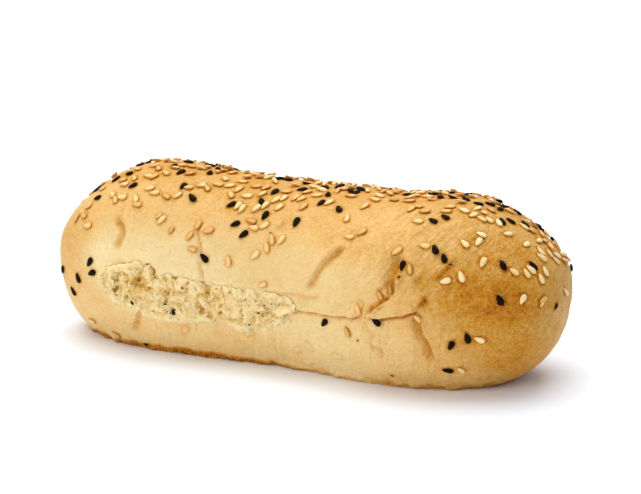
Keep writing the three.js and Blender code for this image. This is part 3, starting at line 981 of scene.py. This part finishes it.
def set_bake(piece):
    """Stores what the materials read: the browning, with painted shade added in the folds and round the seeds,
    the wrinkled and stretched skin, and the depth, which the crumb uses for painted shade.
    """
    points = points_of(piece)
    along, round_, above = crust_place(points)
    flat = laid_flat(along, round_)
    _, hollow = folded(flat)
    _, outline = buried_seeds(flat)
    gap = gaps_to(points, np.vstack([points_of(other) for other in seeds.values()]))
    glaze_and_shade_ring = np.exp(-((gap / 0.5) ** 2))  # browned glaze and painted contact shade right round each seed
    # Folds are coloured browner as painted shade in their creases, and the crust is darker on a ring round each
    # buried seed.
    level = bake_level(along, round_, points) + 0.36 * glaze_and_shade_ring + 0.28 * hollow + 0.2 * outline
    near_tear = inside_tear(flat, ragged=False)
    beside_tear = np.exp(-((np.minimum(near_tear, 0) / 1.8) ** 2))  # skin that was torn thin is paler
    store(piece, "bake", np.minimum(level, 0.94) * (1 - 0.4 * beside_tear))
    store(piece, "wrinkled", right_shoulder(along, round_, 8, 70))
    lower_front = step(24, -6, round_) * step(-170, -90, round_)
    store(piece, "stretched", step(-48, -36, along) * step(60, 30, along) * lower_front)
    # How deep in the tear a point lies, which the crumb's colour uses for painted shade.
    store(piece, "depth", np.clip((0.6 - above) / (0.8 * TEAR_DEPTH), 0, 1) * step(-0.6, 0.4, near_tear))


set_bake(bun)
print("bake and depth stored on the bun, whose lowest point is at", points_of(bun)[:, 2].min(), "mm")

# %% [markdown]
# ## Materials, from what the real ones are
#
# Each material is a Principled shader whose colour, roughness and bump come from small noise patterns. The
# patterns read Object coordinates, which are metres on the bread itself, so their scales can be worked out
# from sizes in millimetres: a pattern with features of s mm has a scale of 1000 / s.

# %% Node helpers


def per_mm(size):
    """The scale of a pattern whose features are size millimetres."""
    return 1 / (size * MM)


def emptied(material):
    """The material's node tree, with nothing in it."""
    material.use_nodes = True
    material.node_tree.nodes.clear()
    return material.node_tree


print("a pattern with features of 1 mm has a scale of", per_mm(1))

# %% [markdown]
# ### Baked crust
#
# Crust is dough whose surface dried and browned in the oven, brushed with a thin wash before baking. It is
# matt with a faint sheen where the wash set. Close up it is covered in blisters under a millimetre across,
# each a little browner or paler than the next, and light enters the pale parts a short way before it comes
# back out.

# %% Baked crust


def streaks(tree, where, mask, angle, length, width):
    """The height of thin ridges on the front, at an angle from +X towards +Z, where a mask allows them."""
    turned = add(tree, "ShaderNodeMapping", Vector=where, Rotation=(0, math.radians(angle), 0))
    scale = (per_mm(length), per_mm(length), per_mm(width))
    scaled = add(tree, "ShaderNodeMapping", Vector=turned, Scale=scale)
    threads = add(tree, "ShaderNodeTexNoise", Vector=scaled, Scale=1.0, Detail=1.0, Roughness=0.5)
    ridges = add(tree, "ShaderNodeMapRange", Value=threads, _1=0.42, _2=0.72, _3=0.0, _4=1.0)
    allowed = add(tree, "ShaderNodeAttribute", {"attribute_name": mask}).outputs["Fac"]
    return add(tree, "ShaderNodeMath", {"operation": "MULTIPLY"}, _0=ridges, _1=allowed)


def make_crust(material):
    """Crust from cream to deep brown by its bake and its painted shade, with blisters, pits, wrinkles and
    stretched skin, and painted highlights on the tops of the smallest blisters and of the wrinkles.
    """
    tree = emptied(material)
    where = add(tree, "ShaderNodeTexCoord").outputs["Object"]
    bake = add(tree, "ShaderNodeAttribute", {"attribute_name": "bake"}).outputs["Fac"]
    flecks = add(tree, "ShaderNodeTexNoise", Vector=where, Scale=per_mm(0.5), Detail=1.0, Roughness=0.5)
    blisters = add(tree, "ShaderNodeTexNoise", Vector=where, Scale=per_mm(1.1), Detail=3.0, Roughness=0.65)
    patches = add(tree, "ShaderNodeTexNoise", Vector=where, Scale=per_mm(6.0), Detail=2.0, Roughness=0.5)
    pores = add(tree, "ShaderNodeTexVoronoi", Vector=where, Scale=per_mm(1.6), Randomness=1.0)
    wrinkles = streaks(tree, where, "wrinkled", 54, 5.0, 1.2)
    pulled = streaks(tree, where, "stretched", 82, 9.0, 2.4)
    # Blisters brown unevenly, and more so where the crust is darker.
    uneven = add(tree, "ShaderNodeMath", {"operation": "MULTIPLY_ADD"}, _0=bake, _1=0.4, _2=0.2)
    spread = add(tree, "ShaderNodeMath", {"operation": "SUBTRACT"}, _0=blisters, _1=0.5)
    change = add(tree, "ShaderNodeMath", {"operation": "MULTIPLY"}, _0=spread, _1=uneven)
    # Patches drift a little paler or browner, and the tops of the smallest blisters are paler, partly as dry
    # crust and partly as a painted highlight.
    drift = add(tree, "ShaderNodeMath", {"operation": "MULTIPLY_ADD"}, _0=patches, _1=0.12, _2=-0.06)
    pale = add(tree, "ShaderNodeMapRange", Value=flecks, _1=0.55, _2=0.7, _3=0.0, _4=-0.12)
    level = bake
    for part in (change, drift, pale):
        level = add(tree, "ShaderNodeMath", {"operation": "ADD"}, _0=level, _1=part)
    # The ridges of the wrinkles are painted paler, a painted highlight on their tops.
    level = add(tree, "ShaderNodeMath", {"operation": "MULTIPLY_ADD"}, _0=wrinkles, _1=-0.12, _2=level)
    colour = add(tree, "ShaderNodeValToRGB", Fac=level, stops=[
        (0.0, "#F6DFAA"), (0.15, "#F0D196"), (0.3, "#EBC685"), (0.5, "#E6B268"), (0.65, "#D49F50"),
        (0.75, "#CE8F2C"), (0.85, "#C27A0A"), (0.95, "#AC6200"), (1.0, "#7A3E00"),
    ])
    # Skin texture: fine grain, and pits where bubbles broke at the surface.
    pits = add(tree, "ShaderNodeMapRange", Value=pores, _1=0.0, _2=0.25, _3=-0.6, _4=0.0)
    skin = add(tree, "ShaderNodeMath", {"operation": "ADD"}, _0=flecks, _1=pits)
    # Bumps on bumps, from the finest to the broadest: strength, depth in mm, and height.
    bumps = {}
    layers = ((0.7, 0.4, skin), (0.7, 0.6, blisters), (0.35, 0.6, wrinkles), (0.5, 0.8, pulled))
    for strength, depth, height in layers:
        bumps = {"Normal": add(tree, "ShaderNodeBump", Strength=strength, Distance=depth * MM, Height=height,
                               **bumps)}
    sheen = add(tree, "ShaderNodeMapRange", Value=patches, _1=0.3, _2=0.7, _3=0.5, _4=0.66)
    shader = add(tree, "ShaderNodeBsdfPrincipled", Base_Color=colour, Roughness=sheen, IOR=1.45,
                 Subsurface_Weight=0.12, Subsurface_Radius=(1.0, 0.55, 0.25), Subsurface_Scale=1.6 * MM,
                 Specular_IOR_Level=0.22, **bumps)
    add(tree, "ShaderNodeOutputMaterial", Surface=shader)


make_crust(bpy.data.materials["baked_crust"])
print("nodes in the crust's tree:", len(bpy.data.materials["baked_crust"].node_tree.nodes))

# %% [markdown]
# ### Torn crumb
#
# Crumb is set starch foam, almost white, and very matt. Light goes deep into it, so its shadows are soft and
# warm. Deeper in the hollows its colour is painted darker and more yellow, as painted shade.

# %% Torn crumb


def make_crumb(material):
    """Matt cream crumb, painted darker and more yellow deeper down as painted shade."""
    tree = emptied(material)
    where = add(tree, "ShaderNodeTexCoord").outputs["Object"]
    depth = add(tree, "ShaderNodeAttribute", {"attribute_name": "depth"}).outputs["Fac"]
    foam = add(tree, "ShaderNodeTexNoise", Vector=where, Scale=per_mm(0.9), Detail=3.0, Roughness=0.7)
    crumb_tone_and_shade = add(tree, "ShaderNodeMath", {"operation": "MULTIPLY_ADD"}, _0=foam, _1=0.5, _2=-0.25)
    # Painted shade: the deeper the crumb lies in the tear, the darker and more yellow it is coloured.
    crumb_tone_and_shade = add(tree, "ShaderNodeMath", {"operation": "ADD"}, _0=crumb_tone_and_shade, _1=depth)
    colour = add(tree, "ShaderNodeValToRGB", Fac=crumb_tone_and_shade, stops=[
        (0.0, "#F1D69F"), (0.3, "#EAC982"), (0.6, "#DFB45C"), (1.0, "#D09D3A"),
    ])
    bumps = add(tree, "ShaderNodeBump", Strength=0.6, Distance=0.3 * MM, Height=foam)
    shader = add(tree, "ShaderNodeBsdfPrincipled", Base_Color=colour, Normal=bumps, Roughness=0.9, IOR=1.4,
                 Subsurface_Weight=0.5, Subsurface_Radius=(1.0, 0.86, 0.62), Subsurface_Scale=1.3 * MM,
                 Specular_IOR_Level=0.2)
    add(tree, "ShaderNodeOutputMaterial", Surface=shader)


make_crumb(bpy.data.materials["torn_crumb"])
print("nodes in the crumb's tree:", len(bpy.data.materials["torn_crumb"].node_tree.nodes))

# %% [markdown]
# ### Sesame seeds
#
# A black sesame seed keeps its coat: thin, dark brown to black, with fine ridges that run from the tail to
# the blunt end, and a slight shine. A white one has had its coat rubbed off, so its face is smooth, cream
# and a little oily, and it toasts first along its thin edge and at its tail.

# %% Sesame seeds


def make_black(material):
    """A dark ridged coat, with the ridges along the seed by its UV map."""
    tree = emptied(material)
    uv = add(tree, "ShaderNodeUVMap", {"uv_map": "UVMap"})
    stretched = add(tree, "ShaderNodeMapping", Vector=uv, Scale=(14.0, 2.5, 1.0))
    ridges = add(tree, "ShaderNodeTexNoise", Vector=stretched, Scale=1.5, Detail=3.0, Roughness=0.6)
    colour = add(tree, "ShaderNodeValToRGB", Fac=ridges, stops=[
        (0.3, "#0B0705"), (0.6, "#19100B"), (0.8, "#302016"),
    ])
    bumps = add(tree, "ShaderNodeBump", Strength=0.6, Distance=0.12 * MM, Height=ridges)
    shader = add(tree, "ShaderNodeBsdfPrincipled", Base_Color=colour, Normal=bumps, Roughness=0.5, IOR=1.45,
                 Specular_IOR_Level=0.07, Specular_Tint=(1.0, 0.84, 0.7, 1.0))
    add(tree, "ShaderNodeOutputMaterial", Surface=shader)


def make_white(material):
    """A smooth cream face, toasted by the seed's own tint, and more at its thin edge."""
    tree = emptied(material)
    where = add(tree, "ShaderNodeTexCoord").outputs["Object"]
    tint = add(tree, "ShaderNodeAttribute", {"attribute_name": "tint"}).outputs["Fac"]
    edge = add(tree, "ShaderNodeAttribute", {"attribute_name": "edge"}).outputs["Fac"]
    grain = add(tree, "ShaderNodeTexNoise", Vector=where, Scale=per_mm(0.5), Detail=2.0)
    speck = add(tree, "ShaderNodeMath", {"operation": "MULTIPLY_ADD"}, _0=grain, _1=0.3, _2=-0.15)
    toast = add(tree, "ShaderNodeMath", {"operation": "MULTIPLY_ADD"}, _0=edge, _1=0.5, _2=-0.2)
    for part in (tint, speck):
        toast = add(tree, "ShaderNodeMath", {"operation": "ADD"}, _0=toast, _1=part)
    colour = add(tree, "ShaderNodeValToRGB", Fac=toast, stops=[
        (0.0, "#F5DEA8"), (0.35, "#EFCB88"), (0.65, "#E3AC58"), (0.9, "#C98424"), (1.0, "#A5620C"),
    ])
    bumps = add(tree, "ShaderNodeBump", Strength=0.25, Distance=0.1 * MM, Height=grain)
    shader = add(tree, "ShaderNodeBsdfPrincipled", Base_Color=colour, Normal=bumps, Roughness=0.4, IOR=1.47,
                 Subsurface_Weight=0.3, Subsurface_Radius=(1.0, 0.6, 0.3), Subsurface_Scale=0.6 * MM)
    add(tree, "ShaderNodeOutputMaterial", Surface=shader)


make_black(bpy.data.materials["black_sesame"])
make_white(bpy.data.materials["white_sesame"])
print("materials:", [material.name for material in bpy.data.materials])

# %% [markdown]
# ## The table, the light and the camera
#
# The bun lies on a plain white table under a large soft light, as food is often shown: from above for the
# crown, with weaker light from the front so that the torn side does not go dark.

# %% Stage


def plane(name, size, colour):
    """A square floor whose half width is size millimetres."""
    points = [(-size, -size, 0), (size, -size, 0), (size, size, 0), (-size, size, 0)]
    piece = new_mesh(name, points, [(0, 1, 2, 3)])
    material = bpy.data.materials.new(name)
    tree = emptied(material)
    shader = add(tree, "ShaderNodeBsdfPrincipled", Base_Color=linear(colour), Roughness=0.9,
                 Specular_IOR_Level=0.1)
    add(tree, "ShaderNodeOutputMaterial", Surface=shader)
    piece.data.materials.append(material)
    return piece


table_top = plane("table_top", 3000, "#FAFBFF")


def facing(place, aim):
    """How a lamp or a camera stands at a place, in mm, to face the point aim."""
    place, aim = Vector(place) * MM, Vector(aim) * MM
    return Matrix.Translation(place) @ (aim - place).to_track_quat("-Z", "Y").to_matrix().to_4x4()


def softbox(name, place, aim, size, watts, colour=(1, 1, 1)):
    """A square soft light at a place, in mm, that faces the point aim."""
    light = bpy.data.lights.new(name, "AREA")
    light.shape, light.size, light.energy, light.color = "SQUARE", size * MM, watts, colour
    lamp = bpy.data.objects.new(name, light)
    lamp.matrix_world = facing(place, aim)
    bpy.context.scene.collection.objects.link(lamp)


softbox("top_light", (-100, 200, 850), (0, 0, 20), 1000, 9.4)
softbox("front_light", (-300, -940, 530), (0, 0, 20), 650, 4.4, (1, 0.985, 0.95))
world = bpy.data.worlds.new("studio")
bpy.context.scene.world = world
world.use_nodes = True
world.node_tree.nodes["Background"].inputs["Color"].default_value = (0.76, 0.89, 1, 1)
world.node_tree.nodes["Background"].inputs["Strength"].default_value = 0.46
bpy.context.scene.view_settings.view_transform = "Standard"

# The camera stands a little to the right of the torn side and a little above the table. It aims a little to
# the right of the bun and above its middle. Its distance is in millimetres from the centre.
AZIMUTH, ELEVATION, DISTANCE = math.radians(24.2), math.radians(16.2), 680.0
level_part = math.cos(ELEVATION)
back = Vector((math.sin(AZIMUTH) * level_part, -math.cos(AZIMUTH) * level_part, math.sin(ELEVATION)))
right = Vector((math.cos(AZIMUTH), math.sin(AZIMUTH), 0))
centre = Vector((0, 0, 24.24))
aim = centre + right * 3.75 + back.cross(right) * 7.75
camera_data = bpy.data.cameras.new("camera")
camera_data.lens = 128.2
camera_data.clip_start = 0.05
camera = bpy.data.objects.new("camera", camera_data)
eye = centre + back * DISTANCE
camera.matrix_world = facing(eye, aim)
bpy.context.scene.collection.objects.link(camera)
bpy.context.scene.camera = camera
print("camera:", [round(value) for value in eye], "mm, lens", camera_data.lens, "mm")

# %% [markdown]
# ## Handing the pieces over
#
# The bun and the two kinds of seed have to be tied to the imported model: each piece rides on the loaf's one
# body and stands in for the plain solids of the same thing, which are hidden.

# %% Hand over to the frame
for piece, kind, slot in ((bun, "bun", "crust"), (seeds["black"], "black_sesame", "black_seed"),
                          (seeds["white"], "white_sesame", "white_seed")):
    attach(piece, "root")
    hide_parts(*[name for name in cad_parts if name.startswith(kind)])
